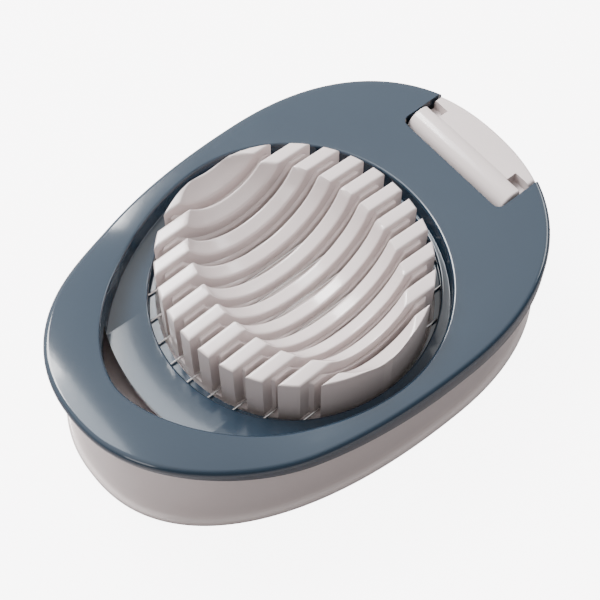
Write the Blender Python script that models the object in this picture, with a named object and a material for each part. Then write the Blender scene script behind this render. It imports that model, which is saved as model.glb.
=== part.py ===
"""Egg slicer: a grey moulded base with a ribbed egg cradle, and a teal lid that carries
ten steel cutting wires and swings up on two hinge pins.

Frame: +Z up, +Y towards the hinge, the finger gap at -Y, origin at the middle of the
underside.  Metres throughout.  The sizes below are laid out from the cradle's centre, and
add_object moves every point so that the origin ends up in the middle of the whole.
"""
import bpy
import numpy as np
from math import pi

# ---- driving dimensions -------------------------------------------------------------
POINTS = 64                  # points round an egg-shaped outline
SEAM = 0.0003                # gap between pieces that touch

# lid plan: an egg, widest towards the hinge
LID_HALF_WIDTH = 0.0431
LID_WIDEST_Y = 0.0140
LID_FRONT_Y = -0.0615
LID_BACK_Y = 0.0650
LID_POWER = 2.25
LID_TOP_Z = 0.0280
FLANGE_THICK = 0.0020
SKIRT_THICK = 0.0020
SKIRT_DROP = 0.0065          # skirt depth below the lid's top at the sides
SKIRT_FADE_DROP = 0.0024     # the same at the front tip
SKIRT_FADE_START_Y = 0.0050
LIP_RISE = 0.0070            # the front of the lid sweeps up by this much, as a lift lip
LIP_START_Y = -0.0250

# opening through the lid, and the sunk deck that holds the wires
OPENING_HALF_WIDTH = 0.0376
OPENING_FRONT_Y = -0.0497
OPENING_BACK_Y = 0.0356
OPENING_FRONT_POWER = 1.75
INNER_WALL = 0.0018
DECK_SINK = 0.0056           # deck's top below the lid's top
DECK_THICK = 0.0017
DECK_FRONT_Y = -0.0446       # free front edge of the deck, at the middle
DECK_FRONT_RADIUS = 0.0520
FINGER_GAP_INSET = 0.0050     # finger gap's cut inside the lid's outline, clear of the skirt
DECK_HOLE_GAP = 0.0013       # round the cradle at its sides
DECK_HOLE_GAP_Y = 0.0034     # round the cradle at the rib ends

# cutting wires and their clamp ring
RIB_PITCH = 0.0060
RIB_COUNT = 9
WIRE_DIAMETER = 0.0005
WIRE_GRIP = 0.0014           # length of wire held beyond the hole's edge
CLAMP_THICK = 0.0022
CLAMP_WIDTH = 0.0018         # beyond the deck's hole
CLAMP_GAP = 0.0008           # round the cradle at its sides
CLAMP_GAP_Y = 0.0014         # round the cradle at the rib ends

# egg cradle
CRADLE_HALF_WIDTH = 0.0326
CRADLE_HALF_LENGTH = 0.03125
CRADLE_POWER = 2.04
CRADLE_RISE = 0.0070         # rib ends above the lid's top
RIB_CROWN = 0.0009           # ribs' tops rise this much towards the bowl
CROWN_SHARE = 0.60           # plan scale of the outline where the crown is reached
RIB_WIDTH = 0.0034           # proud part of a rib
SLIT_WIDTH = 0.0011          # through-slit between two ribs' shoulders
SHOULDER_INSET = 0.0024      # shoulder behind the rib's end
SHOULDER_DROP = 0.0018       # shoulder below the rib's top
SHOULDER_SINK = 0.0028       # shoulder behind the bowl's surface
SLIT_FLOOR_BELOW_WIRE = 0.0016
EGG_RADIUS = 0.0220          # bowl: an egg lying across the ribs
EGG_HALF_LENGTH = 0.0315
END_EGG_HALF_LENGTH = 0.0360 # the same for the scoop of the two end segments
EGG_CENTRE_ABOVE_RIBS = 0.0080

# base
BASE_WALL = 0.0018
FOOT_STAND = 0.0006          # underside of the rim above the surface
RIM_HEIGHT = 0.0020
RIM_WIDTH = 0.0014
BASE_FOOT_INSET = 0.0019     # wall's foot inside the lid's outline
BASE_TOP_INSET = 0.0026      # wall's top inside the lid's outline
BASE_FRONT_SET_BACK = 0.0045 # extra set-back of the wall's top at the front, under the lift lip
BASE_LID_GAP = 0.0006        # wall's top below the sunk deck
TRAY_FLOOR_Z = 0.0140
TRAY_FLOOR_THICK = 0.0020
HINGE_RELIEF_DEPTH = 0.0132  # wall cut this far below the lid's top where the lid's arms swing
HINGE_RELIEF_Y = 0.0420

# hinge
HINGE_Y = 0.0540
HINGE_BELOW_LID = 0.0035     # hinge axis below the lid's top
BARREL_RADIUS = 0.0041
NOTCH_HALF_WIDTH = 0.0172
NOTCH_CORNER = 0.0020
NOTCH_CLEARANCE = 0.0014     # in front of the barrel
HINGE_GAP = 0.0005
TAB_BELOW_LID = 0.0003       # tab's top below the lid's top
TAB_EDGE_INSET = 0.0008      # tab's back edge inside the lid's outline
TAB_SLOT_WIDTH = 0.0046
TAB_SLOT_DEPTH = 0.0032
PIN_DIAMETER = 0.0030
PIN_LENGTH = 0.0115
PIN_IN_BARREL = 0.0068
BOSS_RADIUS = 0.0034
BOSS_LENGTH = 0.0060

# feet
FOOT_DIAMETER = 0.0074
FOOT_HEIGHT = 0.0017
FOOT_BOSS_WALL = 0.0010
FOOT_PLACES = {
    "foot_front_left": (-0.0200, -0.0330),
    "foot_front_right": (0.0200, -0.0330),
    "foot_rear_left": (-0.0260, 0.0300),
    "foot_rear_right": (0.0260, 0.0300),
}

# ---- sizes that follow ----------------------------------------------------------------
FLANGE_UNDER_Z = LID_TOP_Z - FLANGE_THICK
DECK_TOP_Z = LID_TOP_Z - DECK_SINK
DECK_UNDER_Z = DECK_TOP_Z - DECK_THICK
WIRE_Z = DECK_UNDER_Z - SEAM - WIRE_DIAMETER / 2
CLAMP_TOP_Z = WIRE_Z - WIRE_DIAMETER / 2 - SEAM
RIB_TOP_Z = LID_TOP_Z + CRADLE_RISE
HINGE_Z = LID_TOP_Z - HINGE_BELOW_LID
TAB_TOP_Z = LID_TOP_Z - TAB_BELOW_LID
HINGE_RELIEF_Z = LID_TOP_Z - HINGE_RELIEF_DEPTH
SLIT_FLOOR_Z = WIRE_Z - SLIT_FLOOR_BELOW_WIRE
BASE_TOP_Z = DECK_UNDER_Z - BASE_LID_GAP
HOLE_HALF_WIDTH = CRADLE_HALF_WIDTH + DECK_HOLE_GAP
HOLE_HALF_LENGTH = CRADLE_HALF_LENGTH + DECK_HOLE_GAP_Y
NOTCH_Y = HINGE_Y - BARREL_RADIUS - NOTCH_CLEARANCE
TAB_HALF_WIDTH = NOTCH_HALF_WIDTH - HINGE_GAP
ORIGIN_Y = (LID_FRONT_Y + LID_BACK_Y - BASE_FOOT_INSET + RIM_WIDTH) / 2
REACH = 0.2                  # how far a cutter runs past what it cuts
CUT = 0.010                  # how far a cutter stands clear above or below


# ---- outlines ---------------------------------------------------------------------------
def egg(half_width, widest_y, front_y, back_y, power_front, power_back, count=POINTS):
    """Closed outline, counter-clockwise: two half superellipses that meet at widest_y."""
    turn = np.linspace(0.0, 2 * pi, count, endpoint=False)
    side = np.cos(turn)
    along = np.sin(turn)
    power = np.where(along < 0, power_front, power_back)
    reach = np.where(along < 0, widest_y - front_y, back_y - widest_y)
    x = half_width * np.sign(side) * np.abs(side) ** (2 / power)
    y = widest_y + reach * np.sign(along) * np.abs(along) ** (2 / power)
    return np.column_stack([x, y])


def lid_outline(inset=0.0, front_set_back=0.0):
    return egg(LID_HALF_WIDTH - inset, LID_WIDEST_Y, LID_FRONT_Y + inset + front_set_back,
               LID_BACK_Y - inset, LID_POWER, LID_POWER)


def lip_rise(outline):
    """Extra height at each point: a smooth step from LIP_START_Y to the front tip."""
    y = np.array([point[1] for point in outline])
    share = np.clip((LIP_START_Y - y) / (LIP_START_Y - LID_FRONT_Y), 0.0, 1.0)
    return LIP_RISE * share ** 2 * (3 - 2 * share)


def opening_outline(grow=0.0):
    return egg(OPENING_HALF_WIDTH + grow, 0.0, OPENING_FRONT_Y - grow, OPENING_BACK_Y + grow,
               OPENING_FRONT_POWER, 2.0)


def cradle_outline(scale=1.0):
    return egg(CRADLE_HALF_WIDTH * scale, 0.0, -CRADLE_HALF_LENGTH * scale,
               CRADLE_HALF_LENGTH * scale, CRADLE_POWER, CRADLE_POWER)


def hole_outline(grow=0.0):
    return egg(HOLE_HALF_WIDTH + grow, 0.0, -HOLE_HALF_LENGTH - grow,
               HOLE_HALF_LENGTH + grow, 2.0, 2.0)


def half_chord(outline_half_width, outline_half_length, power, x):
    """Half length of a superellipse along Y at a given x."""
    share = min(abs(x) / outline_half_width, 1.0)
    return outline_half_length * (1 - share ** power) ** (1 / power)


# ---- mesh helpers -------------------------------------------------------------------------
def material(name, colour, roughness, metallic=0.0):
    made = bpy.data.materials.get(name) or bpy.data.materials.new(name)
    made.use_nodes = True
    shader = made.node_tree.nodes["Principled BSDF"]
    shader.inputs["Base Color"].default_value = (*colour, 1.0)
    shader.inputs["Roughness"].default_value = roughness
    shader.inputs["Metallic"].default_value = metallic
    return made


def add_object(name, points, faces, finish=None):
    mesh = bpy.data.meshes.new(name)
    mesh.from_pydata([(float(x), float(y) - ORIGIN_Y, float(z)) for x, y, z in points], [], faces)
    mesh.validate()
    mesh.update()
    made = bpy.data.objects.new(name, mesh)
    bpy.context.collection.objects.link(made)
    if finish is not None:
        mesh.materials.append(finish)
    return made


def loft(name, rings, finish=None, closed=False):
    """Solid through outlines of equal point count, given as (outline, height).

    A height is one z or a z for each point.  The rings run up the outside; they are either closed
    round or end in two flat caps.
    """
    count, levels = len(rings[0][0]), len(rings)
    points = [(x, y, z) for outline, height in rings
              for (x, y), z in zip(outline, np.broadcast_to(height, count))]
    faces = []
    for level in range(levels if closed else levels - 1):
        low, high = level * count, (level + 1) % levels * count
        for i in range(count):
            j = (i + 1) % count
            faces.append((low + i, low + j, high + j, high + i))
    if not closed:
        faces.append(tuple(reversed(range(count))))
        faces.append(tuple(range((levels - 1) * count, levels * count)))
    return add_object(name, points, faces, finish)


def across(name, profile, x0, x1, finish=None):
    """Solid whose (y, z) profile, counter-clockwise seen from +X, runs from x0 to x1."""
    count = len(profile)
    points = [(x, y, z) for x in (x0, x1) for y, z in profile]
    faces = [tuple(reversed(range(count))), tuple(range(count, 2 * count))]
    for i in range(count):
        j = (i + 1) % count
        faces.append((i, j, count + j, count + i))
    return add_object(name, points, faces, finish)


def box(name, low, high, finish=None):
    profile = [(low[1], low[2]), (high[1], low[2]), (high[1], high[2]), (low[1], high[2])]
    return across(name, profile, low[0], high[0], finish)


def disc_profile(y, z, radius, count=20):
    turn = np.linspace(0.0, 2 * pi, count, endpoint=False)
    return [(y + radius * np.cos(t), z + radius * np.sin(t)) for t in turn]


def disc_outline(x, y, radius, count=20):
    turn = np.linspace(0.0, 2 * pi, count, endpoint=False)
    return [(x + radius * np.cos(t), y + radius * np.sin(t)) for t in turn]


def guide(tool):
    tool.hide_render = True
    tool.display_type = "WIRE"
    return tool


def combine(target, tool, operation):
    step = target.modifiers.new(operation.title() + " " + tool.name, "BOOLEAN")
    step.operation = operation
    step.solver = "EXACT"
    step.object = guide(tool)


# ---- base -----------------------------------------------------------------------------------
def base_ring(share, inwards=0.0):
    """Outline of the base's wall: share 0 at the foot, 1 at the top."""
    inset = BASE_FOOT_INSET + (BASE_TOP_INSET - BASE_FOOT_INSET) * share
    return lid_outline(inset + inwards, BASE_FRONT_SET_BACK * share)


def build_base(finish):
    rim_top = FOOT_STAND + RIM_HEIGHT

    def share(z):
        return (z - rim_top) / (BASE_TOP_Z - rim_top)

    under_top = TRAY_FLOOR_Z - TRAY_FLOOR_THICK
    rim = lid_outline(BASE_FOOT_INSET - RIM_WIDTH)
    foot, top = base_ring(0.0), base_ring(1.0)
    top_inner = base_ring(1.0, BASE_WALL)
    hollow = base_ring(0.0, BASE_WALL)
    base = loft("base_shell", [
        (base_ring(share(under_top), BASE_WALL), under_top), (hollow, rim_top), (hollow, FOOT_STAND),
        (rim, FOOT_STAND), (rim, rim_top), (foot, rim_top + SEAM),
        (top, BASE_TOP_Z + lip_rise(top)), (top_inner, BASE_TOP_Z + lip_rise(top_inner)),
        (base_ring(share(TRAY_FLOOR_Z), BASE_WALL), TRAY_FLOOR_Z)], finish)
    relief = box("hinge_relief", (-REACH, HINGE_RELIEF_Y, HINGE_RELIEF_Z),
                 (REACH, LID_BACK_Y + CUT, BASE_TOP_Z + CUT))
    combine(base, relief, "DIFFERENCE")
    add_hinge_tab(base)
    for name, (x, y) in FOOT_PLACES.items():
        outline = disc_outline(x, y, FOOT_DIAMETER / 2 + FOOT_BOSS_WALL)
        boss = loft(name + "_boss", [(outline, FOOT_HEIGHT + SEAM),
                                     (outline, TRAY_FLOOR_Z - TRAY_FLOOR_THICK / 2)])
        combine(base, boss, "UNION")
    return base


def add_hinge_tab(base):
    x = np.linspace(TAB_HALF_WIDTH, -TAB_HALF_WIDTH, 13)
    back = [(v, LID_WIDEST_Y + half_chord(LID_HALF_WIDTH, LID_BACK_Y - LID_WIDEST_Y - TAB_EDGE_INSET,
                                          LID_POWER, v)) for v in x]
    outline = [(-TAB_HALF_WIDTH, HINGE_Y), (TAB_HALF_WIDTH, HINGE_Y)] + back
    tab = loft("hinge_tab", [(outline, FOOT_STAND + RIM_HEIGHT / 2), (outline, TAB_TOP_Z)])
    combine(base, tab, "UNION")
    barrel = across("hinge_barrel", disc_profile(HINGE_Y, HINGE_Z, BARREL_RADIUS, 28),
                    -TAB_HALF_WIDTH, TAB_HALF_WIDTH)
    combine(base, barrel, "UNION")
    for side, name in ((-1, "left"), (1, "right")):
        ends = sorted((side * (TAB_HALF_WIDTH + CUT), side * (TAB_HALF_WIDTH - PIN_IN_BARREL - SEAM)))
        bore = across("pin_bore_" + name,
                      disc_profile(HINGE_Y, HINGE_Z, PIN_DIAMETER / 2 + SEAM), *ends)
        combine(base, bore, "DIFFERENCE")
        slot_x = sorted((side * (TAB_HALF_WIDTH - TAB_SLOT_WIDTH), side * (TAB_HALF_WIDTH + CUT)))
        slot_y = HINGE_Y + BARREL_RADIUS / 2
        slot = box("tab_slot_" + name, (slot_x[0], slot_y, TAB_TOP_Z - TAB_SLOT_DEPTH),
                   (slot_x[1], slot_y + TAB_SLOT_DEPTH, TAB_TOP_Z + CUT))
        combine(base, slot, "DIFFERENCE")
    hollow = [(-TAB_HALF_WIDTH + BASE_WALL, HINGE_Y + BASE_WALL),
              (TAB_HALF_WIDTH - BASE_WALL, HINGE_Y + BASE_WALL)]
    hollow += [(v * (1 - BASE_WALL / TAB_HALF_WIDTH), y - BASE_WALL) for v, y in back]
    under = loft("tab_hollow", [(hollow, FOOT_STAND - CUT), (hollow, HINGE_RELIEF_Z)])
    combine(base, under, "DIFFERENCE")


def build_feet(finish):
    for name, (x, y) in FOOT_PLACES.items():
        outline = disc_outline(x, y, FOOT_DIAMETER / 2)
        loft(name, [(outline, 0.0), (outline, FOOT_HEIGHT)], finish)


# ---- cradle ---------------------------------------------------------------------------------
def bowl_profile(x, grow, rim_z, half_y, floor_z, count=13):
    """(y, z) points of a rib's bowl side: the egg's arc between its two crossings of rim_z."""
    centre_z = RIB_TOP_Z + EGG_CENTRE_ABOVE_RIBS
    left = 1 - (x / (EGG_HALF_LENGTH + grow)) ** 2
    radius = (EGG_RADIUS + grow) * max(left, 0.0) ** 0.5
    up = centre_z - rim_z
    if radius <= up * 1.02:
        return []
    span = (radius ** 2 - up ** 2) ** 0.5
    y = np.linspace(-min(span, half_y), min(span, half_y), count)
    z = np.maximum(centre_z - np.sqrt(radius ** 2 - y ** 2), floor_z)
    return list(zip(y, z))


def build_cradle(finish):
    foot = TRAY_FLOOR_Z + SEAM
    block = loft("egg_cradle", [(cradle_outline(), foot), (cradle_outline(), RIB_TOP_Z),
                                (cradle_outline(CROWN_SHARE), RIB_TOP_Z + RIB_CROWN)], finish)
    inner = (RIB_COUNT / 2) * RIB_PITCH
    combine(block, egg_tool("bowl", EGG_HALF_LENGTH, -EGG_HALF_LENGTH, EGG_HALF_LENGTH), "DIFFERENCE")
    for side, name in ((-1, "left"), (1, "right")):
        ends = sorted((side * inner, side * END_EGG_HALF_LENGTH))
        combine(block, egg_tool("end_scoop_" + name, END_EGG_HALF_LENGTH, *ends), "DIFFERENCE")
    for index in range(RIB_COUNT + 1):
        x = (index - RIB_COUNT / 2) * RIB_PITCH
        slit = box("slit_%02d" % (index + 1), (x - SLIT_WIDTH / 2, -REACH, SLIT_FLOOR_Z),
                   (x + SLIT_WIDTH / 2, REACH, RIB_TOP_Z + CUT))
        combine(block, slit, "DIFFERENCE")
        half_gap = (RIB_PITCH - RIB_WIDTH) / 2
        combine(block, across("shoulder_%02d" % (index + 1), shoulder_cut(x),
                              x - half_gap, x + half_gap), "DIFFERENCE")
    under = loft("cradle_under", [(cradle_outline(0.92), foot - CUT),
                                  (cradle_outline(0.92), SLIT_FLOOR_Z - BASE_WALL)])
    combine(block, under, "DIFFERENCE")
    return block


def shoulder_cut(x):
    """All that stands above and outside the shoulders beside the slit at x."""
    chord = half_chord(CRADLE_HALF_WIDTH, CRADLE_HALF_LENGTH, CRADLE_POWER, x)
    half_y = max(chord - SHOULDER_INSET, SHOULDER_INSET)
    top = RIB_TOP_Z - SHOULDER_DROP
    arc = bowl_profile(x, SHOULDER_SINK, top, half_y - SHOULDER_INSET, SLIT_FLOOR_Z + SEAM)
    inner = [(-half_y, SLIT_FLOOR_Z), (-half_y, top)] + arc + [(half_y, top), (half_y, SLIT_FLOOR_Z)]
    outer = [(REACH, SLIT_FLOOR_Z), (REACH, RIB_TOP_Z + CUT),
             (-REACH, RIB_TOP_Z + CUT), (-REACH, SLIT_FLOOR_Z)]
    return inner + outer


def egg_tool(name, half_length, x0, x1, rings=12, sides=28):
    """The part of an egg lying along X that is between x0 and x1, capped at its ends."""
    centre_z = RIB_TOP_Z + EGG_CENTRE_ABOVE_RIBS
    turn = np.linspace(0.0, 2 * pi, sides, endpoint=False)
    lean = np.linspace(np.arcsin(x0 / half_length), np.arcsin(x1 / half_length), rings + 1)
    points = []
    for a in lean:
        radius = max(EGG_RADIUS * np.cos(a), SEAM)
        points += [(half_length * np.sin(a), radius * np.cos(t), centre_z + radius * np.sin(t)) for t in turn]
    faces = [tuple(reversed(range(sides))), tuple(range(rings * sides, (rings + 1) * sides))]
    for low in range(0, rings * sides, sides):
        for i in range(sides):
            j = (i + 1) % sides
            faces.append((low + i, low + j, low + sides + j, low + sides + i))
    return add_object(name, points, faces)


# ---- lid --------------------------------------------------------------------------------------
def finger_gap_tool():
    """All of the sunk wall and deck in front of the deck's free edge, up to the flange."""
    def edge_y(x):
        return DECK_FRONT_Y + DECK_FRONT_RADIUS - (DECK_FRONT_RADIUS ** 2 - x ** 2) ** 0.5

    front = sorted((x, y) for x, y in lid_outline(FINGER_GAP_INSET) if y < edge_y(x))
    back = [(x, edge_y(x)) for x in np.linspace(front[-1][0], front[0][0], 17)[1:-1]]
    outline = front + back
    return loft("finger_gap", [(outline, DECK_UNDER_Z - CUT), (outline, FLANGE_UNDER_Z - SEAM)])


def skirt_bottom(outline):
    """Height of the skirt's lower edge: level at the sides, rising into the lift lip."""
    y = np.array([point[1] for point in outline])
    share = np.clip((SKIRT_FADE_START_Y - y) / (SKIRT_FADE_START_Y - LID_FRONT_Y), 0.0, 1.0)
    drop = SKIRT_DROP + (SKIRT_FADE_DROP - SKIRT_DROP) * share
    return LID_TOP_Z - drop + lip_rise(outline)


def build_lid(finish):
    outer, inner = lid_outline(), lid_outline(SKIRT_THICK)
    well, wall, hole = opening_outline(), opening_outline(INNER_WALL), hole_outline()
    lid = loft("lid_frame", [
        (outer, skirt_bottom(outer)), (outer, LID_TOP_Z + lip_rise(outer)),
        (well, LID_TOP_Z + lip_rise(well)), (well, DECK_TOP_Z), (hole, DECK_TOP_Z),
        (hole, DECK_UNDER_Z), (wall, DECK_UNDER_Z), (wall, FLANGE_UNDER_Z + lip_rise(wall)),
        (inner, FLANGE_UNDER_Z + lip_rise(inner)), (inner, skirt_bottom(outer))], finish, closed=True)
    combine(lid, finger_gap_tool(), "DIFFERENCE")
    for side, name in ((-1, "left"), (1, "right")):
        ends = sorted((side * NOTCH_HALF_WIDTH, side * (NOTCH_HALF_WIDTH + BOSS_LENGTH)))
        profile = disc_profile(HINGE_Y, HINGE_Z, BOSS_RADIUS)
        combine(lid, across("hinge_boss_" + name, profile, *ends), "UNION")
    combine(lid, notch_tool(), "DIFFERENCE")
    for side, name in ((-1, "left"), (1, "right")):
        deep = NOTCH_HALF_WIDTH - PIN_IN_BARREL - HINGE_GAP + PIN_LENGTH + SEAM
        ends = sorted((side * (NOTCH_HALF_WIDTH - CUT), side * deep))
        profile = disc_profile(HINGE_Y, HINGE_Z, PIN_DIAMETER / 2 + SEAM)
        combine(lid, across("lid_pin_bore_" + name, profile, *ends), "DIFFERENCE")
    return lid


def notch_tool():
    """Rectangular notch with two rounded inner corners, open at the hinge end."""
    turn = np.linspace(0.0, pi / 2, 5)
    inner_x = NOTCH_HALF_WIDTH - NOTCH_CORNER
    inner_y = NOTCH_Y + NOTCH_CORNER
    right = [(inner_x + NOTCH_CORNER * np.sin(t), inner_y - NOTCH_CORNER * np.cos(t)) for t in turn]
    left = [(-x, y) for x, y in reversed(right)]
    outline = left + right + [(NOTCH_HALF_WIDTH, LID_BACK_Y + CUT), (-NOTCH_HALF_WIDTH, LID_BACK_Y + CUT)]
    return loft("notch", [(outline, LID_TOP_Z - 2 * CUT), (outline, LID_TOP_Z + CUT)])


def build_wires(finish):
    for index in range(RIB_COUNT + 1):
        x = (index - RIB_COUNT / 2) * RIB_PITCH
        half = half_chord(HOLE_HALF_WIDTH, HOLE_HALF_LENGTH, 2.0, x) + WIRE_GRIP
        turn = np.linspace(0.0, 2 * pi, 8, endpoint=False)
        radius = WIRE_DIAMETER / 2
        ring = [(x + radius * np.cos(t), WIRE_Z + radius * np.sin(t)) for t in turn]
        points = [(u, y, w) for y in (-half, half) for u, w in ring]
        faces = [tuple(range(8)), tuple(reversed(range(8, 16)))]
        faces += [(i, i + 8, (i + 1) % 8 + 8, (i + 1) % 8) for i in range(8)]
        add_object("cutting_wire_%02d" % (index + 1), points, faces, finish)


def build_clamp(finish):
    """Ring under the deck that holds the ends of the wires."""
    outer = hole_outline(CLAMP_WIDTH)
    ring = loft("wire_clamp_ring", [(outer, CLAMP_TOP_Z - CLAMP_THICK), (outer, CLAMP_TOP_Z)], finish)
    inner = egg(CRADLE_HALF_WIDTH + CLAMP_GAP, 0.0, -CRADLE_HALF_LENGTH - CLAMP_GAP_Y,
                CRADLE_HALF_LENGTH + CLAMP_GAP_Y, 2.0, 2.0)
    combine(ring, loft("clamp_hole", [(inner, CLAMP_TOP_Z - CLAMP_THICK - CUT), (inner, CLAMP_TOP_Z + CUT)]),
            "DIFFERENCE")


def build_pins(finish):
    for side, name in ((-1, "left"), (1, "right")):
        start = NOTCH_HALF_WIDTH - PIN_IN_BARREL - HINGE_GAP
        ends = sorted((side * start, side * (start + PIN_LENGTH)))
        across("hinge_pin_" + name, disc_profile(HINGE_Y, HINGE_Z, PIN_DIAMETER / 2), *ends, finish)


def main():
    for old in list(bpy.data.objects):
        bpy.data.objects.remove(old)
    grey = material("grey_moulding", (0.74, 0.70, 0.69), 0.28)
    teal = material("teal_moulding", (0.05, 0.10, 0.15), 0.22)
    steel = material("stainless_wire", (0.62, 0.61, 0.60), 0.25, 1.0)
    rubber = material("foot_rubber", (0.12, 0.12, 0.12), 0.75)
    build_base(grey)
    build_cradle(grey)
    build_feet(rubber)
    build_lid(teal)
    build_clamp(teal)
    build_wires(steel)
    build_pins(steel)


main()
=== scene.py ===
"""Looks of the egg slicer: smooth mouldings, ribbed cradle, steel wires, and a soft studio.

All lengths are in millimetres until the last step of each surface, which turns them into metres.
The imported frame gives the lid's, base's and cradle's outer sizes; the other sizes are the design's.
"""
import bmesh
import bpy
import numpy as np
from math import atan, pi, radians
from mathutils import Matrix, Vector


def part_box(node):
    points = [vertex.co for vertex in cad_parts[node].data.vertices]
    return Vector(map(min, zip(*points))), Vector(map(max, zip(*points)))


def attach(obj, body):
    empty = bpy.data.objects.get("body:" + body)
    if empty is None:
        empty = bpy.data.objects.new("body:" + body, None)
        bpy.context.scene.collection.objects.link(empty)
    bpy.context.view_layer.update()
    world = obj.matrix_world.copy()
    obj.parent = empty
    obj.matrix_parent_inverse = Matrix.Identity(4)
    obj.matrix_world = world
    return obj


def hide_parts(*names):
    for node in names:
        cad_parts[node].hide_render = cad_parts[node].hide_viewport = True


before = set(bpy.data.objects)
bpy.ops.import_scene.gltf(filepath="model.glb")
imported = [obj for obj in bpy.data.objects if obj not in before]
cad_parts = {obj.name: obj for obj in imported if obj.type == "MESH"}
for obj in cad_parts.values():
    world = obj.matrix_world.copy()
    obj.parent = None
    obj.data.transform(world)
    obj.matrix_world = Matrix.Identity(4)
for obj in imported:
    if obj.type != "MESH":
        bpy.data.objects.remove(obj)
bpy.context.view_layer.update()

MM = 0.001
AROUND = 240                    # points round an egg-shaped outline


def box_mm(node):
    low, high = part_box(node)
    return np.array(low) / MM, np.array(high) / MM


LID_LOW, LID_HIGH = box_mm("lid_frame")
BASE_LOW = box_mm("base_shell")[0]
CRADLE_LOW, CRADLE_HIGH = box_mm("egg_cradle")
PIN_LOW, PIN_HIGH = box_mm("hinge_pin_right")
WIRE_LOW = box_mm("cutting_wire_05")[0]

# cradle
CENTRE_Y = (CRADLE_LOW[1] + CRADLE_HIGH[1]) / 2
CRADLE_A = CRADLE_HIGH[0]
CRADLE_B = (CRADLE_HIGH[1] - CRADLE_LOW[1]) / 2
CRADLE_POWER = 2.04
RIB_CROWN = 0.9                 # ribs' tops would rise this much above their ends
CROWN_SHARE = 0.60              # plan scale of the outline where that is reached
CROWN_LEFT = 0.77               # what the bowl leaves of the crown
RIB_END_Z = CRADLE_HIGH[2] - CROWN_LEFT
RIB_PITCH = 6.0
RIB_COUNT = 9
RIB_WIDTH = 3.4
SLIT_WIDTH = 1.1
SHOULDER_INSET = 2.4
SHOULDER_DROP = 1.8
SHOULDER_SINK = 2.8
EGG_RADIUS = 22.0
EGG_HALF_LENGTH = 31.5
END_EGG_HALF_LENGTH = 36.0
EGG_CENTRE_ABOVE = 8.0
RIB_FILLET = 0.6
PEAK_SOFTNESS = 0.35            # blend between a rib's top and the bowl
RIB_ROOT = 1.0                  # ribs start this far above the cradle's underside
PLATE_BELOW_WIRE = 1.3
PLATE_THICK = 3.6
PLATE_FILLET = 0.4

# lid
LID_TOP = 28.0
LID_HALF_WIDTH = LID_HIGH[0]
LID_FRONT = LID_LOW[1]
LID_WIDEST = CENTRE_Y + 14.0
LID_BACK = CENTRE_Y + 65.0
LID_POWER = 2.25
FLANGE = 2.0
SKIRT = 2.0
SKIRT_DROP = 6.5
SKIRT_FADE_DROP = 2.4
SKIRT_FADE_START = CENTRE_Y + 5.0
LIP_RISE = 7.0
LIP_START = CENTRE_Y - 25.0
OPENING_HALF_WIDTH = 37.6
OPENING_FRONT = CENTRE_Y - 49.7
OPENING_BACK = CENTRE_Y + 35.6
OPENING_FRONT_POWER = 1.75
INNER_WALL = 1.8
DECK_SINK = 5.6
DECK_THICK = 1.7
DECK_FRONT = CENTRE_Y - 44.6
DECK_FRONT_RADIUS = 52.0
HOLE_A = CRADLE_A + 1.3
HOLE_B = CRADLE_B + 3.4
LID_EDGE_FILLET = 1.4
SKIRT_FILLET = 0.4
OPENING_FILLET = 0.7
HOLE_FILLET = 0.5
DECK_CORNER_FILLET = 0.25
LID_BEVEL = 0.35

# base
WALL = 1.8
RIM_FILLET = 0.6
WALL_FOOT_FILLET = 0.8
TAB_FILLET = 0.9
BARREL_FILLET = 0.6
BASE_BEVEL = 0.3
BASE_LID_GAP = 0.6
FOOT_BOSS_WALL = 1.0
FOOT_GAP = 0.3
RIM_HEIGHT = 2.0
RIM_WIDTH = 1.4
TAB_EDGE_INSET = 0.8
BASE_UNDER = BASE_LOW[2]
FOOT_INSET = 1.9
TOP_INSET = 2.6
FRONT_SET_BACK = 4.5
BASE_TOP = LID_TOP - DECK_SINK - DECK_THICK - BASE_LID_GAP
TRAY_FLOOR = 14.0
TRAY_THICK = 2.0
RELIEF_Z = 14.8
RELIEF_Y = CENTRE_Y + 42.0

# hinge
HINGE_Y = (PIN_LOW[1] + PIN_HIGH[1]) / 2
HINGE_Z = (PIN_LOW[2] + PIN_HIGH[2]) / 2
BARREL_RADIUS = 4.1
NOTCH_HALF = 17.2
NOTCH_CORNER = 2.0
NOTCH_CLEARANCE = 1.4
HINGE_GAP = 0.5
TAB_TOP = 27.7
TAB_SLOT_WIDTH = 4.6
TAB_SLOT_DEPTH = 3.2
BOSS_RADIUS = 3.4
BOSS_LENGTH = 6.0

# camera
CAMERA_AZIMUTH = radians(51.0)
CAMERA_ELEVATION = radians(58.8)
CAMERA_ROLL = radians(0.5)
CAMERA_DISTANCE = 0.310
CAMERA_FIELD = 2 * atan(0.5 / (4.414 * 310.0 / 600.0))
CAMERA_SHIFT = (0.0093, -0.0702)

# studio
SKY_DIM = 0.26
SKY_BRIGHT = 1.9
SKY_TOWARDS = (-0.62, -0.10, 0.78)
PAPER_HALF = 3000
PAPER_GLOW = 7.0                # light the paper gives to the camera alone


# ---- outlines -----------------------------------------------------------------------------
def egg(half_width, widest, front, back, power_front, power_back):
    """Outline of two half superellipses: |x/a|^p + |y/b|^p = 1, with its own b and p each way."""
    turn = np.linspace(0.0, 2 * pi, AROUND, endpoint=False)
    side, along = np.cos(turn), np.sin(turn)
    power = np.where(along < 0, power_front, power_back)
    reach = np.where(along < 0, widest - front, back - widest)
    x = half_width * np.sign(side) * np.abs(side) ** (2 / power)
    y = widest + reach * np.sign(along) * np.abs(along) ** (2 / power)
    return np.column_stack([x, y])


def lid_outline(inset=0.0, set_back=0.0):
    return egg(LID_HALF_WIDTH - inset, LID_WIDEST, LID_FRONT + inset + set_back,
               LID_BACK - inset, LID_POWER, LID_POWER)


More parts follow.
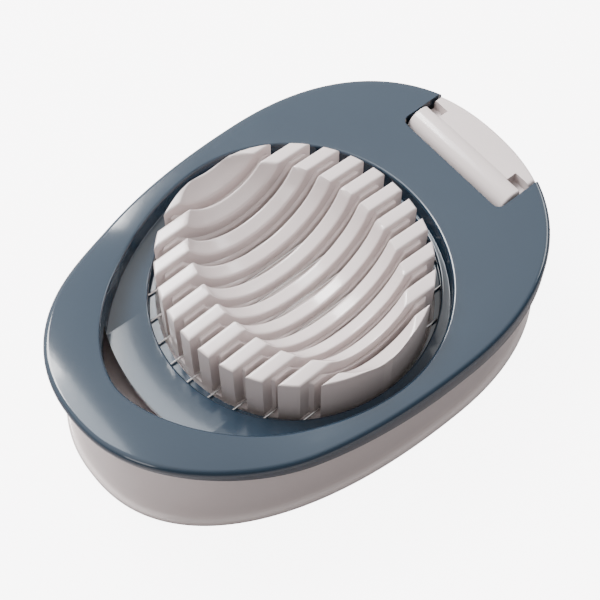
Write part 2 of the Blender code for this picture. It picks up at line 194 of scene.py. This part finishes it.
def lip_rise(outline):
    """Extra height of the lid and of the wall below it: a smooth step towards the front tip."""
    share = np.clip((LIP_START - outline[:, 1]) / (LIP_START - LID_FRONT), 0, 1)
    return LIP_RISE * share ** 2 * (3 - 2 * share)


def opening_outline(grow=0.0):
    return egg(OPENING_HALF_WIDTH + grow, CENTRE_Y, OPENING_FRONT - grow, OPENING_BACK + grow,
               OPENING_FRONT_POWER, 2.0)


def hole_outline(grow=0.0):
    return egg(HOLE_A + grow, CENTRE_Y, CENTRE_Y - HOLE_B - grow, CENTRE_Y + HOLE_B + grow, 2.0, 2.0)


def cradle_outline(inset=0.0):
    return egg(CRADLE_A - inset, CENTRE_Y, CENTRE_Y - CRADLE_B + inset, CENTRE_Y + CRADLE_B - inset,
               CRADLE_POWER, CRADLE_POWER)


def arc(start, end, steps=6):
    """Angles in radians from start to end degrees."""
    return np.radians(np.linspace(start, end, steps))


# ---- meshes -------------------------------------------------------------------------------
def new_piece(name, points, faces):
    """A mesh from points in millimetres, its normals made to point outwards."""
    mesh = bpy.data.meshes.new(name)
    mesh.from_pydata((np.asarray(points) * MM).tolist(), [], faces)
    work = bmesh.new()
    work.from_mesh(mesh)
    bmesh.ops.remove_doubles(work, verts=work.verts, dist=1e-7)
    bmesh.ops.dissolve_degenerate(work, edges=work.edges, dist=1e-7)
    bmesh.ops.recalc_face_normals(work, faces=work.faces)
    work.to_mesh(mesh)
    work.free()
    piece = bpy.data.objects.new(name, mesh)
    bpy.context.collection.objects.link(piece)
    return piece


def grid_faces(rows, columns, wrap_rows, wrap_columns):
    """Quads of a grid of points, as whole arrays, closed round where asked."""
    r = np.arange(rows if wrap_rows else rows - 1)[:, None]
    c = np.arange(columns if wrap_columns else columns - 1)[None, :]
    r1, c1 = (r + 1) % rows, (c + 1) % columns
    quads = np.stack([r * columns + c, r * columns + c1, r1 * columns + c1, r1 * columns + c], -1)
    return quads.reshape(-1, 4).tolist()


def ring(outline, z):
    """An outline lifted to z, which may differ from point to point."""
    return np.column_stack([outline, np.broadcast_to(z, len(outline))])


def shell(name, rings, closed=False):
    """Surface through rings of equal count: closed round both ways, or with an end cap on each end."""
    points = np.concatenate(rings)
    count = len(rings[0])
    faces = grid_faces(len(rings), count, closed, True)
    if not closed:
        last = (len(rings) - 1) * count
        faces += [list(range(count)), list(range(last, last + count))]
    return new_piece(name, points, faces)


def prism(name, outline, z0, z1, fillet=0.0, steps=6):
    """Outline raised from z0 to z1; its top edge is rounded by shrinking it about its middle."""
    outline = np.asarray(outline, float)
    rings = [ring(outline, z0), ring(outline, z1 - fillet)]
    if fillet:
        middle = (outline.max(0) + outline.min(0)) / 2
        half = (outline.max(0) - outline.min(0)) / 2
        for a in arc(0, 90, steps)[1:]:
            shrink = 1 - fillet * (1 - np.cos(a)) / half
            rings.append(ring(middle + (outline - middle) * shrink, z1 - fillet + fillet * np.sin(a)))
    return shell(name, rings)


def rod_x(name, y, z, radius, x0, x1, fillet=0.0, sides=64):
    """Cylinder along X whose two ends are rounded."""
    turn = np.linspace(0, 2 * pi, sides, endpoint=False)
    ends = [(x0 + fillet * (1 - np.sin(a)), radius - fillet * (1 - np.cos(a))) for a in arc(90, 0)]
    ends += [(x1 - fillet * (1 - np.sin(a)), radius - fillet * (1 - np.cos(a))) for a in arc(0, 90)]
    rings = [np.column_stack([np.full(sides, x), y + r * np.cos(turn), z + r * np.sin(turn)])
             for x, r in ends]
    return shell(name, rings)


def block(name, low, high):
    outline = [(low[0], low[1]), (high[0], low[1]), (high[0], high[1]), (low[0], high[1])]
    return prism(name, outline, low[2], high[2])


def carve(piece, tools):
    """Applies each (operation, tool) to the piece in turn and removes the tools."""
    for operation, tool in tools:
        step = piece.modifiers.new(tool.name, "BOOLEAN")
        step.operation = operation
        step.solver = "EXACT"
        step.object = tool
    depsgraph = bpy.context.evaluated_depsgraph_get()
    result = bpy.data.meshes.new_from_object(piece.evaluated_get(depsgraph))
    piece.modifiers.clear()
    piece.data = result
    for _, tool in tools:
        bpy.data.objects.remove(tool)


def finish_edges(piece, width, limit=38.0, segments=3):
    """Rounds the sharp edges and shades the rest smooth."""
    edge = piece.modifiers.new("moulded_edges", "BEVEL")
    edge.width = width * MM
    edge.segments = segments
    edge.limit_method = "ANGLE"
    edge.angle_limit = radians(limit)
    piece.data.shade_smooth()
    piece.data.set_sharp_from_angle(angle=radians(32))


# ---- materials ----------------------------------------------------------------------------
def moulded_plastic(name, colour, mottled, roughness, spread, coat, grain):
    """Injection-moulded plastic: faint flow mottling, hairline scratches and a fine skin."""
    made = bpy.data.materials.new(name)
    made.use_nodes = True
    nodes, links = made.node_tree.nodes, made.node_tree.links
    shader = nodes["Principled BSDF"]
    place = nodes.new("ShaderNodeTexCoord")

    flow = nodes.new("ShaderNodeTexNoise")
    flow.inputs["Scale"].default_value = 55.0
    flow.inputs["Detail"].default_value = 3.0
    links.new(place.outputs["Object"], flow.inputs["Vector"])
    tint = nodes.new("ShaderNodeMix")
    tint.data_type = "RGBA"
    tint.inputs["A"].default_value = (*colour, 1)
    tint.inputs["B"].default_value = (*mottled, 1)
    links.new(flow.outputs["Fac"], tint.inputs["Factor"])
    links.new(tint.outputs["Result"], shader.inputs["Base Color"])

    turned = nodes.new("ShaderNodeMapping")
    turned.inputs["Rotation"].default_value = (0.3, 0.2, 0.9)
    turned.inputs["Scale"].default_value = (90.0, 2600.0, 900.0)
    links.new(place.outputs["Object"], turned.inputs["Vector"])
    scratches = nodes.new("ShaderNodeTexNoise")
    scratches.inputs["Scale"].default_value = 1.0
    scratches.inputs["Detail"].default_value = 2.0
    links.new(turned.outputs["Vector"], scratches.inputs["Vector"])
    hairlines = nodes.new("ShaderNodeMapRange")
    hairlines.inputs["From Min"].default_value = 0.62
    hairlines.inputs["From Max"].default_value = 0.78
    hairlines.inputs["To Min"].default_value = 0.0
    hairlines.inputs["To Max"].default_value = 1.0
    links.new(scratches.outputs["Fac"], hairlines.inputs["Value"])

    wear = nodes.new("ShaderNodeMapRange")
    wear.inputs["To Min"].default_value = roughness - spread
    wear.inputs["To Max"].default_value = roughness + spread
    links.new(flow.outputs["Fac"], wear.inputs["Value"])
    rough = nodes.new("ShaderNodeMath")
    rough.operation = "MULTIPLY_ADD"
    rough.inputs[1].default_value = 0.03
    links.new(hairlines.outputs["Result"], rough.inputs[0])
    links.new(wear.outputs["Result"], rough.inputs[2])
    links.new(rough.outputs["Value"], shader.inputs["Roughness"])

    skin = nodes.new("ShaderNodeTexNoise")
    skin.inputs["Scale"].default_value = grain
    skin.inputs["Detail"].default_value = 4.0
    links.new(place.outputs["Object"], skin.inputs["Vector"])
    relief = nodes.new("ShaderNodeMath")
    relief.operation = "MULTIPLY_ADD"
    relief.inputs[1].default_value = -0.25
    links.new(hairlines.outputs["Result"], relief.inputs[0])
    links.new(skin.outputs["Fac"], relief.inputs[2])
    bump = nodes.new("ShaderNodeBump")
    bump.inputs["Strength"].default_value = 0.10
    bump.inputs["Distance"].default_value = 0.00008
    links.new(relief.outputs["Value"], bump.inputs["Height"])
    links.new(bump.outputs["Normal"], shader.inputs["Normal"])

    shader.inputs["IOR"].default_value = 1.53
    shader.inputs["Coat Weight"].default_value = coat
    shader.inputs["Coat Roughness"].default_value = 0.06
    return made


def drawn_steel(name, colour, roughness, stretch):
    """Bright steel with fine lines along its length and a little roughness variation."""
    made = bpy.data.materials.new(name)
    made.use_nodes = True
    nodes, links = made.node_tree.nodes, made.node_tree.links
    shader = nodes["Principled BSDF"]
    place = nodes.new("ShaderNodeTexCoord")
    drawn = nodes.new("ShaderNodeMapping")
    drawn.inputs["Scale"].default_value = stretch
    links.new(place.outputs["Object"], drawn.inputs["Vector"])
    lines = nodes.new("ShaderNodeTexNoise")
    lines.inputs["Scale"].default_value = 1.0
    lines.inputs["Detail"].default_value = 3.0
    links.new(drawn.outputs["Vector"], lines.inputs["Vector"])
    rough = nodes.new("ShaderNodeMapRange")
    rough.inputs["To Min"].default_value = roughness * 0.6
    rough.inputs["To Max"].default_value = roughness * 1.5
    links.new(lines.outputs["Fac"], rough.inputs["Value"])
    links.new(rough.outputs["Result"], shader.inputs["Roughness"])
    tone = nodes.new("ShaderNodeMix")
    tone.data_type = "RGBA"
    tone.inputs["A"].default_value = (*colour, 1)
    tone.inputs["B"].default_value = (*[c * 0.82 for c in colour], 1)
    links.new(lines.outputs["Fac"], tone.inputs["Factor"])
    links.new(tone.outputs["Result"], shader.inputs["Base Color"])
    bump = nodes.new("ShaderNodeBump")
    bump.inputs["Strength"].default_value = 0.15
    bump.inputs["Distance"].default_value = 0.00003
    links.new(lines.outputs["Fac"], bump.inputs["Height"])
    links.new(bump.outputs["Normal"], shader.inputs["Normal"])
    shader.inputs["Metallic"].default_value = 1.0
    return made


def soft_rubber():
    """Matt rubber with a fine grain."""
    made = bpy.data.materials.new("foot_rubber")
    made.use_nodes = True
    nodes, links = made.node_tree.nodes, made.node_tree.links
    shader = nodes["Principled BSDF"]
    place = nodes.new("ShaderNodeTexCoord")
    grain = nodes.new("ShaderNodeTexNoise")
    grain.inputs["Scale"].default_value = 2200.0
    links.new(place.outputs["Object"], grain.inputs["Vector"])
    tone = nodes.new("ShaderNodeMix")
    tone.data_type = "RGBA"
    tone.inputs["A"].default_value = (0.020, 0.020, 0.021, 1)
    tone.inputs["B"].default_value = (0.055, 0.055, 0.056, 1)
    links.new(grain.outputs["Fac"], tone.inputs["Factor"])
    links.new(tone.outputs["Result"], shader.inputs["Base Color"])
    rough = nodes.new("ShaderNodeMapRange")
    rough.inputs["To Min"].default_value = 0.65
    rough.inputs["To Max"].default_value = 0.9
    links.new(grain.outputs["Fac"], rough.inputs["Value"])
    links.new(rough.outputs["Result"], shader.inputs["Roughness"])
    bump = nodes.new("ShaderNodeBump")
    bump.inputs["Strength"].default_value = 0.3
    bump.inputs["Distance"].default_value = 0.00005
    links.new(grain.outputs["Fac"], bump.inputs["Height"])
    links.new(bump.outputs["Normal"], shader.inputs["Normal"])
    return made


def dress(piece, finish):
    piece.data.materials.clear()
    piece.data.materials.append(finish)


# ---- cradle -------------------------------------------------------------------------------
def chord(x, inset=0.0):
    """Half length of the cradle's plan at x."""
    share = np.clip(np.abs(x) / CRADLE_A, 0, 1)
    return np.maximum(CRADLE_B * (1 - share ** CRADLE_POWER) ** (1 / CRADLE_POWER) - inset, 0.05)


def rib_height(x, y, drop, sink, reach):
    """Lower of the crowned top and the egg-shaped bowl, blended over a short peak."""
    plan = np.abs(x / CRADLE_A) ** CRADLE_POWER + np.abs(y / CRADLE_B) ** CRADLE_POWER
    plan = plan ** (1 / CRADLE_POWER)
    crown = RIB_END_Z - drop + RIB_CROWN * np.clip((1 - plan) / (1 - CROWN_SHARE), 0, 1)
    inside = 1 - (x / (reach + sink)) ** 2 - (y / (EGG_RADIUS + sink)) ** 2
    depth = (EGG_RADIUS + sink) * np.sqrt(np.clip(inside, 0, None))
    bowl = RIB_END_Z + EGG_CENTRE_ABOVE - depth
    return (crown + bowl - np.sqrt((crown - bowl) ** 2 + PEAK_SOFTNESS ** 2)) / 2


def clustered(count, fillet, half):
    """Values from -1 to 1, crowded near both ends so that a fillet there has its own points."""
    edge = 1 - fillet / half * (1 - np.sin(arc(0, 90, 6)))
    inner = np.linspace(-edge[0], edge[0], count)[1:-1]
    return np.concatenate([-edge[::-1], inner, edge])


def rib_block(x0, x1, inset, drop, sink, floor, reach=EGG_HALF_LENGTH, fillet=RIB_FILLET, stations=110):
    """Points and faces of one rib: a height over x and y, lowered along a quarter circle at its rim."""
    middle, half = (x0 + x1) / 2, (x1 - x0) / 2
    u = clustered(5 if half < 3 else 22, fillet, half)
    x = (middle + half * u)[:, None]
    length = chord(x, inset)
    v = clustered(stations, fillet, float(chord(np.array(middle), inset)))[None, :]
    y = length * v
    edge_x = np.minimum(x - x0, x1 - x)
    plan_edge = length - np.abs(y)
    edge = np.minimum(np.broadcast_to(edge_x, y.shape), plan_edge)
    short = np.clip(fillet - edge, 0, fillet)
    z = rib_height(x, y, drop, sink, reach) - (fillet - np.sqrt(fillet ** 2 - short ** 2))
    rows, columns = y.shape
    top = np.stack([np.broadcast_to(x, y.shape), y + CENTRE_Y, z], -1).reshape(-1, 3)
    rim = np.concatenate([np.arange(columns), np.arange(1, rows) * columns + columns - 1,
                          (rows - 1) * columns + np.arange(columns - 2, -1, -1),
                          np.arange(rows - 2, 0, -1) * columns])
    low = top[rim].copy()
    low[:, 2] = floor
    faces = grid_faces(rows, columns, False, False)
    start, count = len(top), len(rim)
    ahead = np.roll(np.arange(count), -1)
    faces += np.stack([rim, start + np.arange(count), start + ahead, rim[ahead]], -1).tolist()
    faces.append(list(range(start, start + count)))
    return np.concatenate([top, low]), faces


def build_cradle(finish):
    """Nine ribs and two end segments on wider shoulders, all standing on one plate."""
    floor = CRADLE_LOW[2] + RIB_ROOT
    blocks = []
    for index in range(-(RIB_COUNT // 2), RIB_COUNT // 2 + 1):
        x = index * RIB_PITCH
        blocks.append(rib_block(x - RIB_WIDTH / 2, x + RIB_WIDTH / 2, 0, 0, 0, floor))
        wide = (RIB_PITCH - SLIT_WIDTH) / 2
        blocks.append(rib_block(x - wide, x + wide, SHOULDER_INSET, SHOULDER_DROP, SHOULDER_SINK, floor))
    outer = (RIB_COUNT + 1) / 2 * RIB_PITCH
    proud = outer - RIB_WIDTH / 2
    shoulder = (RIB_COUNT / 2) * RIB_PITCH + SLIT_WIDTH / 2
    for side in (-1, 1):
        ends = sorted((side * proud, side * (CRADLE_A - 0.02)))
        blocks.append(rib_block(*ends, 0, 0, 0, floor, END_EGG_HALF_LENGTH))
        ends = sorted((side * shoulder, side * (CRADLE_A - SHOULDER_INSET)))
        blocks.append(rib_block(*ends, SHOULDER_INSET, SHOULDER_DROP, SHOULDER_SINK, floor,
                                END_EGG_HALF_LENGTH))
    points, faces, start = [], [], 0
    for block_points, block_faces in blocks:
        points.append(block_points)
        faces += [[start + i for i in face] for face in block_faces]
        start += len(block_points)
    ribs = new_piece("egg_cradle_ribs", np.concatenate(points), faces)
    ribs.data.shade_smooth()
    ribs.data.set_sharp_from_angle(angle=radians(35))
    plate_top = WIRE_LOW[2] - PLATE_BELOW_WIRE
    plate = shell("egg_cradle_plate", [
        ring(cradle_outline(3.0), plate_top - PLATE_THICK + 0.6), ring(cradle_outline(3.0), CRADLE_LOW[2]),
        ring(cradle_outline(PLATE_FILLET), CRADLE_LOW[2]),
        ring(cradle_outline(), CRADLE_LOW[2] + PLATE_FILLET),
        ring(cradle_outline(), plate_top - PLATE_FILLET),
        ring(cradle_outline(PLATE_FILLET), plate_top)])
    plate.data.shade_smooth()
    plate.data.set_sharp_from_angle(angle=radians(35))
    for piece in (ribs, plate):
        dress(piece, finish)
        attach(piece, "base")
    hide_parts("egg_cradle")


# ---- lid ----------------------------------------------------------------------------------
def skirt_bottom(outline):
    """Height of the skirt's lower edge: level at the sides, rising to the lift lip in front."""
    share = np.clip((SKIRT_FADE_START - outline[:, 1]) / (SKIRT_FADE_START - LID_FRONT), 0, 1)
    return LID_TOP - SKIRT_DROP + (SKIRT_DROP - SKIRT_FADE_DROP) * share + lip_rise(outline)


def lid_rings():
    """The lid's wall, carried once round: opening edge, top, skirt, underside and sunk deck."""
    deck_top, deck_under = LID_TOP - DECK_SINK, LID_TOP - DECK_SINK - DECK_THICK
    outer, well, wall = lid_outline(), opening_outline(), opening_outline(INNER_WALL)
    rings = []
    r = OPENING_FILLET
    for a in arc(0, 90):
        z = LID_TOP - r + r * np.sin(a) + lip_rise(well)
        rings.append(ring(opening_outline(r * (1 - np.cos(a))), z))
    r = LID_EDGE_FILLET
    for a in arc(90, 0, 8):
        z = LID_TOP - r + r * np.sin(a) + lip_rise(outer)
        rings.append(ring(lid_outline(r * (1 - np.cos(a))), z))
    bottom = skirt_bottom(outer)
    r = SKIRT_FILLET
    for a in arc(0, -90, 4):
        rings.append(ring(lid_outline(r * (1 - np.cos(a))), bottom + r + r * np.sin(a)))
    rings.append(ring(lid_outline(SKIRT), bottom))
    rings.append(ring(lid_outline(SKIRT), LID_TOP - FLANGE + lip_rise(lid_outline(SKIRT))))
    rings.append(ring(wall, LID_TOP - FLANGE + lip_rise(wall)))
    rings.append(ring(wall, deck_under))
    rings.append(ring(hole_outline(), deck_under))
    r = HOLE_FILLET
    for a in arc(180, 90, 5):
        rings.append(ring(hole_outline(r * (1 + np.cos(a))), deck_top - r + r * np.sin(a)))
    r = DECK_CORNER_FILLET
    for a in arc(-90, 0, 4):
        rings.append(ring(opening_outline(r * (np.cos(a) - 1)), deck_top + r + r * np.sin(a)))
    return rings


def deck_gap_tool():
    """What is missing in front of the deck's free edge: the finger gap, up to the flange."""
    outline = opening_outline(INNER_WALL + 0.3)
    centre = DECK_FRONT + DECK_FRONT_RADIUS
    edge_y = centre - np.sqrt(DECK_FRONT_RADIUS ** 2 - np.clip(outline[:, 0] ** 2, 0, 2500))
    front = outline[outline[:, 1] < edge_y]
    front = front[np.argsort(front[:, 0])]
    x = np.linspace(front[-1, 0], front[0, 0], 60)[1:-1]
    back = np.column_stack([x, centre - np.sqrt(DECK_FRONT_RADIUS ** 2 - x ** 2)])
    return prism("finger_gap", np.concatenate([front, back]), LID_TOP - 12, LID_TOP - FLANGE)


def notch_tool():
    turn = arc(0, 90, 8)
    y = HINGE_Y - BARREL_RADIUS - NOTCH_CLEARANCE + NOTCH_CORNER
    x = NOTCH_HALF - NOTCH_CORNER
    right = [(x + NOTCH_CORNER * np.sin(t), y - NOTCH_CORNER * np.cos(t)) for t in turn]
    left = [(-a, b) for a, b in reversed(right)]
    outline = left + right + [(NOTCH_HALF, LID_BACK + 10), (-NOTCH_HALF, LID_BACK + 10)]
    return prism("notch", outline, LID_TOP - 20, LID_TOP + 10)


def build_lid(finish):
    lid = shell("lid_moulding", lid_rings(), closed=True)
    tools = [("DIFFERENCE", deck_gap_tool())]
    for side in (-1, 1):
        ends = sorted((side * NOTCH_HALF, side * (NOTCH_HALF + BOSS_LENGTH)))
        tools.append(("UNION", rod_x("boss", HINGE_Y, HINGE_Z, BOSS_RADIUS, *ends)))
    tools.append(("DIFFERENCE", notch_tool()))
    carve(lid, tools)
    finish_edges(lid, LID_BEVEL)
    dress(lid, finish)
    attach(lid, "lid")
    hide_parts("lid_frame")


# ---- base ---------------------------------------------------------------------------------
def wall_ring(z, inwards=0.0, lifted=True):
    """The base's wall at height z: upright at the sides, leaning back and rising under the lift lip."""
    low = BASE_UNDER + RIM_HEIGHT
    share = np.clip((z - low) / (BASE_TOP - low), 0, 1)
    outline = lid_outline(FOOT_INSET + (TOP_INSET - FOOT_INSET) * share + inwards, FRONT_SET_BACK * share)
    return ring(outline, z + lip_rise(outline) * share if lifted else z)


def base_rings():
    """The base's wall from the tray floor over its top edge, down to the rim and up the hollow."""
    low = BASE_UNDER + RIM_HEIGHT
    rings = [wall_ring(TRAY_FLOOR, WALL + 1.0, False), wall_ring(TRAY_FLOOR + 0.3, WALL + 0.3, False),
             wall_ring(TRAY_FLOOR + 1.0, WALL, False)]
    r = WALL / 2
    for a in arc(180, 0, 9):
        top = wall_ring(BASE_TOP, r - r * np.cos(a))
        rings.append(top + np.array([0, 0, r * np.sin(a) - r]))
    rings += [wall_ring(z) for z in np.linspace(BASE_TOP - r, low + WALL_FOOT_FILLET, 8)[1:]]
    r = WALL_FOOT_FILLET
    for a in arc(0, 90, 5)[1:]:
        rings.append(ring(lid_outline(FOOT_INSET - r * (1 - np.cos(a))), low + r * (1 - np.sin(a))))
    r = RIM_FILLET
    rim = FOOT_INSET - RIM_WIDTH
    for a in arc(90, -90, 9):
        upper = low - r if a > 0 else BASE_UNDER + r
        rings.append(ring(lid_outline(rim + r * (1 - np.cos(a))), upper + r * np.sin(a)))
    rings += [ring(lid_outline(FOOT_INSET + WALL), BASE_UNDER), wall_ring(low, WALL)]
    rings.append(wall_ring(TRAY_FLOOR - TRAY_THICK, WALL, False))
    return rings


def tab_outline(inset):
    """Straight sides and a back edge that follows the lid's outline."""
    half = NOTCH_HALF - HINGE_GAP - inset
    x = np.linspace(half, -half, 41)
    reach = LID_BACK - TAB_EDGE_INSET - inset - LID_WIDEST
    y = LID_WIDEST + reach * (1 - (np.abs(x) / LID_HALF_WIDTH) ** LID_POWER) ** (1 / LID_POWER)
    front = HINGE_Y + inset
    return np.concatenate([[(-half, front), (half, front)], np.column_stack([x, y])])


def build_base(finish):
    base = shell("base_moulding", base_rings())
    tools = [("DIFFERENCE", block("relief", (-80, RELIEF_Y, RELIEF_Z), (80, LID_BACK + 10, LID_TOP)))]
    r = TAB_FILLET
    tab = [ring(tab_outline(0.0), BASE_UNDER + RIM_HEIGHT / 2), ring(tab_outline(0.0), TAB_TOP - r)]
    tab += [ring(tab_outline(r * (1 - np.cos(a))), TAB_TOP - r + r * np.sin(a)) for a in arc(0, 90)[1:]]
    tools.append(("UNION", shell("tab", tab)))
    half = NOTCH_HALF - HINGE_GAP
    tools.append(("UNION", rod_x("barrel", HINGE_Y, HINGE_Z, BARREL_RADIUS, -half, half,
                                     BARREL_FILLET)))
    for side in (-1, 1):
        ends = sorted((side * (half - TAB_SLOT_WIDTH), side * (half + 5)))
        y = HINGE_Y + BARREL_RADIUS / 2
        tools.append(("DIFFERENCE", block("slot", (ends[0], y, TAB_TOP - TAB_SLOT_DEPTH),
                                          (ends[1], y + TAB_SLOT_DEPTH, TAB_TOP + 5))))
    tools.append(("DIFFERENCE", prism("tab_hollow", tab_outline(WALL), BASE_UNDER - 5, RELIEF_Z)))
    for name in ("foot_front_left", "foot_front_right", "foot_rear_left", "foot_rear_right"):
        low, high = box_mm(name)
        turn = np.linspace(0, 2 * pi, 48, endpoint=False)
        middle, radius = (low + high) / 2, (high[0] - low[0]) / 2 + FOOT_BOSS_WALL
        outline = middle[:2] + radius * np.column_stack([np.cos(turn), np.sin(turn)])
        tools.append(("UNION", prism(name + "_boss", outline, high[2] + FOOT_GAP,
                                     TRAY_FLOOR - TRAY_THICK / 2)))
    carve(base, tools)
    finish_edges(base, BASE_BEVEL)
    dress(base, finish)
    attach(base, "base")
    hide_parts("base_shell")


# ---- studio -------------------------------------------------------------------------------
def build_studio():
    """White paper, a sky that is brighter behind the left of the view, and four softboxes."""
    corners = [(x * PAPER_HALF, y * PAPER_HALF, 0) for x, y in ((-1, -1), (1, -1), (1, 1), (-1, 1))]
    floor = new_piece("studio_floor", corners, [[0, 1, 2, 3]])
    paper = bpy.data.materials.new("studio_paper")
    paper.use_nodes = True
    shader = paper.node_tree.nodes["Principled BSDF"]
    shader.inputs["Base Color"].default_value = (0.32, 0.30, 0.305, 1)
    shader.inputs["Roughness"].default_value = 0.8
    shader.inputs["Specular IOR Level"].default_value = 0.2
    shader.inputs["Emission Color"].default_value = (1.0, 0.985, 0.99, 1)
    seen = paper.node_tree.nodes.new("ShaderNodeLightPath")
    glow = paper.node_tree.nodes.new("ShaderNodeMath")
    glow.operation = "MULTIPLY"
    glow.inputs[1].default_value = PAPER_GLOW
    paper.node_tree.links.new(seen.outputs["Is Camera Ray"], glow.inputs[0])
    paper.node_tree.links.new(glow.outputs["Value"], shader.inputs["Emission Strength"])
    dress(floor, paper)
    world = bpy.data.worlds.new("studio_air")
    world.use_nodes = True
    nodes, links = world.node_tree.nodes, world.node_tree.links
    place = nodes.new("ShaderNodeTexCoord")
    facing = nodes.new("ShaderNodeVectorMath")
    facing.operation = "DOT_PRODUCT"
    facing.inputs[1].default_value = Vector(SKY_TOWARDS).normalized()
    links.new(place.outputs["Generated"], facing.inputs[0])
    strength = nodes.new("ShaderNodeMapRange")
    strength.interpolation_type = "SMOOTHSTEP"
    strength.inputs["From Min"].default_value = -0.1
    strength.inputs["From Max"].default_value = 1.0
    strength.inputs["To Min"].default_value = SKY_DIM
    strength.inputs["To Max"].default_value = SKY_BRIGHT
    links.new(facing.outputs["Value"], strength.inputs["Value"])
    air = nodes["Background"]
    air.inputs["Color"].default_value = (1.0, 0.985, 0.98, 1)
    links.new(strength.outputs["Result"], air.inputs["Strength"])
    bpy.context.scene.world = world
    softbox("key_softbox", (-0.50, -0.06, 0.60), 0.42, 0.36, 13.0, (1.0, 0.99, 0.98))
    softbox("sheen_softbox", (-0.46, -0.02, 0.78), 0.46, 0.46, 4.0, (0.86, 0.93, 1.0))
    softbox("fill_softbox", (0.30, -0.70, 0.42), 0.30, 0.30, 1.0, (1.0, 0.96, 0.94))
    softbox("back_softbox", (0.10, 0.80, 0.45), 0.50, 0.30, 3.0, (0.97, 0.98, 1.0))


def softbox(name, place, width, height, power, colour):
    lamp = bpy.data.lights.new(name, "AREA")
    lamp.shape = "RECTANGLE"
    lamp.size, lamp.size_y = width, height
    lamp.energy = power
    lamp.color = colour
    holder = bpy.data.objects.new(name, lamp)
    bpy.context.collection.objects.link(holder)
    holder.location = place
    holder.rotation_euler = (Vector((0, 0, 0.02)) - Vector(place)).to_track_quat("-Z", "Y").to_euler()


def build_camera():
    """Camera on the bearing and height of the view, aimed at the middle of the ribs' ends."""
    a, e, r = CAMERA_AZIMUTH, CAMERA_ELEVATION, CAMERA_ROLL
    back = Vector((np.sin(a) * np.cos(e), -np.cos(a) * np.cos(e), np.sin(e)))
    right = Vector((np.cos(a), np.sin(a), 0))
    up = back.cross(right)
    turned_right = right * np.cos(r) - up * np.sin(r)
    turned_up = right * np.sin(r) + up * np.cos(r)
    place = Vector((0, CENTRE_Y * MM, RIB_END_Z * MM)) + back * CAMERA_DISTANCE
    lens = bpy.data.cameras.new("studio_camera")
    lens.sensor_fit = "HORIZONTAL"
    lens.angle = CAMERA_FIELD
    lens.shift_x, lens.shift_y = CAMERA_SHIFT
    lens.clip_start = 0.01
    camera = bpy.data.objects.new("studio_camera", lens)
    bpy.context.collection.objects.link(camera)
    turn = Matrix((turned_right, turned_up, back)).transposed().to_4x4()
    camera.matrix_world = Matrix.Translation(place) @ turn
    bpy.context.scene.camera = camera


def main():
    grey = moulded_plastic("grey_moulding", (0.55, 0.485, 0.475), (0.52, 0.455, 0.445),
                           roughness=0.22, spread=0.05, coat=0.25, grain=900.0)
    teal = moulded_plastic("teal_moulding", (0.0095, 0.021, 0.036), (0.011, 0.024, 0.040),
                           roughness=0.14, spread=0.03, coat=0.30, grain=700.0)
    wire = drawn_steel("stainless_wire", (0.66, 0.65, 0.64), 0.22, (9000.0, 120.0, 9000.0))
    pin = drawn_steel("pin_steel", (0.60, 0.60, 0.60), 0.28, (120.0, 6000.0, 6000.0))
    rubber = soft_rubber()
    build_cradle(grey)
    build_lid(teal)
    build_base(grey)
    for name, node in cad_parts.items():
        if name.startswith("cutting_wire"):
            dress(node, wire)
        elif name.startswith("hinge_pin"):
            dress(node, pin)
        elif name.startswith("foot_"):
            dress(node, rubber)
        elif name == "wire_clamp_ring":
            dress(node, teal)
    build_studio()
    build_camera()


main()
